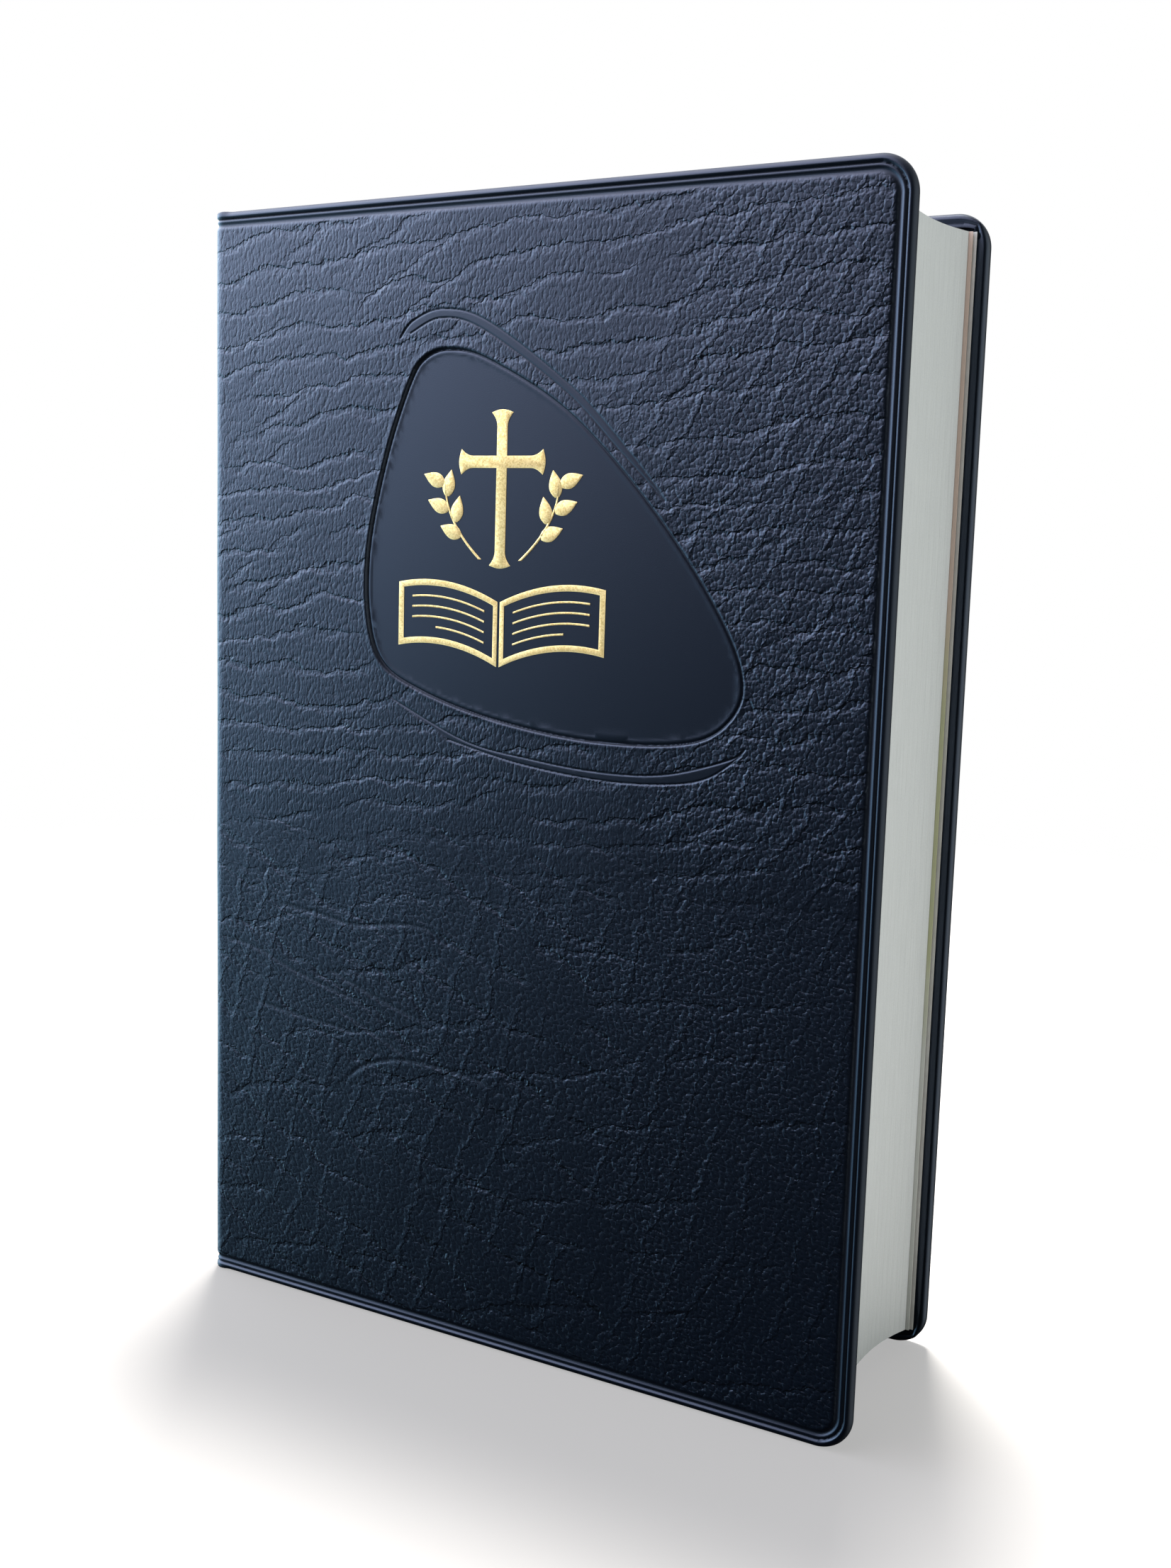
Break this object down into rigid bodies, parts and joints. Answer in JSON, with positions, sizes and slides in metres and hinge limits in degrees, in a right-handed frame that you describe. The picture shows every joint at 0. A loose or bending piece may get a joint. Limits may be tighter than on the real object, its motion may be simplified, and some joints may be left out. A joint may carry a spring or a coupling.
{
  "type": "bible",
  "caption": "Hand-size bible in a flexible grained black vinyl cover with rounded corners, opening covers and page sections that fan.",
  "frame": {"origin": "under the middle of the closed book's box, on the plane that its tail edge stands on", "axes": "+Z from tail to head, +X from spine to fore-edge, -Y out of the front cover"},
  "size_m": [0.143, 0.044, 0.21],
  "materials": {
    "grained_vinyl": "black-navy leather-grain vinyl, satin sheen",
    "liner_vinyl": "smooth black vinyl lining",
    "grey_board": "thin grey book board",
    "bible_paper": "thin cool-white bible paper",
    "endpaper": "plain white endpaper",
    "map_paper": "coated paper tinted like a map",
    "gold_foil": "stamped pale gold foil, slightly worn",
    "muslin": "open-weave spine lining",
    "linen_thread": "sewing thread",
    "headband_cloth": "woven headband"
  },
  "bodies": {
    "text_block": {"spine_skin": "grained_vinyl", "spine_inlay": "grey_board", "spine_gauze": "muslin", "sewing_thread_1": "linen_thread", "sewing_thread_2": "linen_thread", "sewing_thread_3": "linen_thread", "sewing_thread_4": "linen_thread", "glued_folds": "bible_paper", "headband_head": "headband_cloth", "headband_tail": "headband_cloth"},
    "front_cover": {"front_cover_skin": "grained_vinyl", "front_cover_board": "grey_board", "front_cover_liner": "liner_vinyl", "front_paste_down": "endpaper", "foil_cross": "gold_foil", "foil_open_book": "gold_foil", "foil_sprig_left": "gold_foil", "foil_sprig_right": "gold_foil"},
    "back_cover": {"back_cover_skin": "grained_vinyl", "back_cover_board": "grey_board", "back_cover_liner": "liner_vinyl", "back_paste_down": "endpaper"},
    "front_flyleaf": {"front_flyleaf": "endpaper"},
    "section_01": {"section_01": "bible_paper"},
    "section_02": {"section_02": "bible_paper"},
    "section_03": {"section_03": "bible_paper"},
    "section_04": {"section_04": "bible_paper"},
    "section_05": {"section_05": "bible_paper"},
    "section_06": {"section_06": "bible_paper"},
    "section_07": {"section_07": "bible_paper"},
    "section_08": {"section_08": "bible_paper"},
    "section_09": {"section_09": "bible_paper"},
    "section_10": {"section_10": "bible_paper"},
    "section_11": {"section_11": "bible_paper"},
    "section_12": {"section_12": "bible_paper"},
    "section_13": {"section_13": "bible_paper"},
    "section_14": {"section_14": "bible_paper"},
    "section_15": {"section_15": "bible_paper"},
    "section_16": {"section_16": "bible_paper"},
    "section_17": {"section_17": "bible_paper"},
    "section_18": {"section_18": "bible_paper"},
    "section_19": {"section_19": "bible_paper"},
    "section_20": {"section_20": "bible_paper"},
    "section_21": {"section_21": "bible_paper"},
    "section_22": {"section_22": "bible_paper"},
    "section_23": {"section_23": "bible_paper"},
    "section_24": {"section_24": "bible_paper"},
    "back_map_leaf": {"back_map_leaf": "map_paper"}
  },
  "joints": [
    {"name": "front_cover_hinge", "type": "hinge", "parent": "text_block", "child": "front_cover", "pos_m": [-0.0665, -0.0222, 0.105], "axis": [0, 0, -1], "range_deg": [0, 178]},
    {"name": "back_cover_hinge", "type": "hinge", "parent": "text_block", "child": "back_cover", "pos_m": [-0.0665, 0.0222, 0.105], "axis": [0, 0, 1], "range_deg": [0, 178]},
    {"name": "front_flyleaf_turn", "type": "hinge", "parent": "text_block", "child": "front_flyleaf", "pos_m": [-0.06, -0.01883, 0.105], "axis": [0, 0, -1], "range_deg": [0, 90.02]},
    {"name": "section_01_turn", "type": "hinge", "parent": "text_block", "child": "section_01", "pos_m": [-0.06, -0.01783, 0.105], "axis": [0, 0, -1], "range_deg": [0, 80.02]},
    {"name": "section_02_turn", "type": "hinge", "parent": "text_block", "child": "section_02", "pos_m": [-0.06, -0.01628, 0.105], "axis": [0, 0, -1], "range_deg": [0, 73.35]},
    {"name": "section_03_turn", "type": "hinge", "parent": "text_block", "child": "section_03", "pos_m": [-0.06, -0.01473, 0.105], "axis": [0, 0, -1], "range_deg": [0, 66.69]},
    {"name": "section_04_turn", "type": "hinge", "parent": "text_block", "child": "section_04", "pos_m": [-0.06, -0.01317, 0.105], "axis": [0, 0, -1], "range_deg": [0, 60.02]},
    {"name": "section_05_turn", "type": "hinge", "parent": "text_block", "child": "section_05", "pos_m": [-0.06, -0.01162, 0.105], "axis": [0, 0, -1], "range_deg": [0, 53.35]},
    {"name": "section_06_turn", "type": "hinge", "parent": "text_block", "child": "section_06", "pos_m": [-0.06, -0.01008, 0.105], "axis": [0, 0, -1], "range_deg": [0, 46.69]},
    {"name": "section_07_turn", "type": "hinge", "parent": "text_block", "child": "section_07", "pos_m": [-0.06, -0.00852, 0.105], "axis": [0, 0, -1], "range_deg": [0, 40.02]},
    {"name": "section_08_turn", "type": "hinge", "parent": "text_block", "child": "section_08", "pos_m": [-0.06, -0.00698, 0.105], "axis": [0, 0, -1], "range_deg": [0, 33.35]},
    {"name": "section_09_turn", "type": "hinge", "parent": "text_block", "child": "section_09", "pos_m": [-0.06, -0.00543, 0.105], "axis": [0, 0, -1], "range_deg": [0, 26.69]},
    {"name": "section_10_turn", "type": "hinge", "parent": "text_block", "child": "section_10", "pos_m": [-0.06, -0.00387, 0.105], "axis": [0, 0, -1], "range_deg": [0, 20.02]},
    {"name": "section_11_turn", "type": "hinge", "parent": "text_block", "child": "section_11", "pos_m": [-0.06, -0.00232, 0.105], "axis": [0, 0, -1], "range_deg": [0, 13.35]},
    {"name": "section_12_turn", "type": "hinge", "parent": "text_block", "child": "section_12", "pos_m": [-0.06, -0.00077, 0.105], "axis": [0, 0, -1], "range_deg": [0, 6.69]},
    {"name": "section_13_turn", "type": "hinge", "parent": "text_block", "child": "section_13", "pos_m": [-0.06, 0.00077, 0.105], "axis": [0, 0, 1], "range_deg": [0, 6.69]},
    {"name": "section_14_turn", "type": "hinge", "parent": "text_block", "child": "section_14", "pos_m": [-0.06, 0.00232, 0.105], "axis": [0, 0, 1], "range_deg": [0, 13.35]},
    {"name": "section_15_turn", "type": "hinge", "parent": "text_block", "child": "section_15", "pos_m": [-0.06, 0.00387, 0.105], "axis": [0, 0, 1], "range_deg": [0, 20.02]},
    {"name": "section_16_turn", "type": "hinge", "parent": "text_block", "child": "section_16", "pos_m": [-0.06, 0.00543, 0.105], "axis": [0, 0, 1], "range_deg": [0, 26.69]},
    {"name": "section_17_turn", "type": "hinge", "parent": "text_block", "child": "section_17", "pos_m": [-0.06, 0.00698, 0.105], "axis": [0, 0, 1], "range_deg": [0, 33.35]},
    {"name": "section_18_turn", "type": "hinge", "parent": "text_block", "child": "section_18", "pos_m": [-0.06, 0.00852, 0.105], "axis": [0, 0, 1], "range_deg": [0, 40.02]},
    {"name": "section_19_turn", "type": "hinge", "parent": "text_block", "child": "section_19", "pos_m": [-0.06, 0.01008, 0.105], "axis": [0, 0, 1], "range_deg": [0, 46.69]},
    {"name": "section_20_turn", "type": "hinge", "parent": "text_block", "child": "section_20", "pos_m": [-0.06, 0.01162, 0.105], "axis": [0, 0, 1], "range_deg": [0, 53.35]},
    {"name": "section_21_turn", "type": "hinge", "parent": "text_block", "child": "section_21", "pos_m": [-0.06, 0.01317, 0.105], "axis": [0, 0, 1], "range_deg": [0, 60.02]},
    {"name": "section_22_turn", "type": "hinge", "parent": "text_block", "child": "section_22", "pos_m": [-0.06, 0.01473, 0.105], "axis": [0, 0, 1], "range_deg": [0, 66.69]},
    {"name": "section_23_turn", "type": "hinge", "parent": "text_block", "child": "section_23", "pos_m": [-0.06, 0.01628, 0.105], "axis": [0, 0, 1], "range_deg": [0, 73.35]},
    {"name": "section_24_turn", "type": "hinge", "parent": "text_block", "child": "section_24", "pos_m": [-0.06, 0.01783, 0.105], "axis": [0, 0, 1], "range_deg": [0, 80.02]},
    {"name": "back_map_leaf_turn", "type": "hinge", "parent": "text_block", "child": "back_map_leaf", "pos_m": [-0.06, 0.01883, 0.105], "axis": [0, 0, 1], "range_deg": [0, 90.02]}
  ],
  "couplings": [
    {"joint": "front_flyleaf_turn", "follows": "front_cover_hinge", "ratio": 0.50562},
    {"joint": "section_01_turn", "follows": "front_cover_hinge", "ratio": 0.44944},
    {"joint": "section_02_turn", "follows": "front_cover_hinge", "ratio": 0.41199},
    {"joint": "section_03_turn", "follows": "front_cover_hinge", "ratio": 0.37453},
    {"joint": "section_04_turn", "follows": "front_cover_hinge", "ratio": 0.33708},
    {"joint": "section_05_turn", "follows": "front_cover_hinge", "ratio": 0.29963},
    {"joint": "section_06_turn", "follows": "front_cover_hinge", "ratio": 0.26217},
    {"joint": "section_07_turn", "follows": "front_cover_hinge", "ratio": 0.22472},
    {"joint": "section_08_turn", "follows": "front_cover_hinge", "ratio": 0.18727},
    {"joint": "section_09_turn", "follows": "front_cover_hinge", "ratio": 0.14981},
    {"joint": "section_10_turn", "follows": "front_cover_hinge", "ratio": 0.11236},
    {"joint": "section_11_turn", "follows": "front_cover_hinge", "ratio": 0.07491},
    {"joint": "section_12_turn", "follows": "front_cover_hinge", "ratio": 0.03745},
    {"joint": "section_13_turn", "follows": "back_cover_hinge", "ratio": 0.03745},
    {"joint": "section_14_turn", "follows": "back_cover_hinge", "ratio": 0.07491},
    {"joint": "section_15_turn", "follows": "back_cover_hinge", "ratio": 0.11236},
    {"joint": "section_16_turn", "follows": "back_cover_hinge", "ratio": 0.14981},
    {"joint": "section_17_turn", "follows": "back_cover_hinge", "ratio": 0.18727},
    {"joint": "section_18_turn", "follows": "back_cover_hinge", "ratio": 0.22472},
    {"joint": "section_19_turn", "follows": "back_cover_hinge", "ratio": 0.26217},
    {"joint": "section_20_turn", "follows": "back_cover_hinge", "ratio": 0.29963},
    {"joint": "section_21_turn", "follows": "back_cover_hinge", "ratio": 0.33708},
    {"joint": "section_22_turn", "follows": "back_cover_hinge", "ratio": 0.37453},
    {"joint": "section_23_turn", "follows": "back_cover_hinge", "ratio": 0.41199},
    {"joint": "section_24_turn", "follows": "back_cover_hinge", "ratio": 0.44944},
    {"joint": "back_map_leaf_turn", "follows": "back_cover_hinge", "ratio": 0.50562}
  ]
}
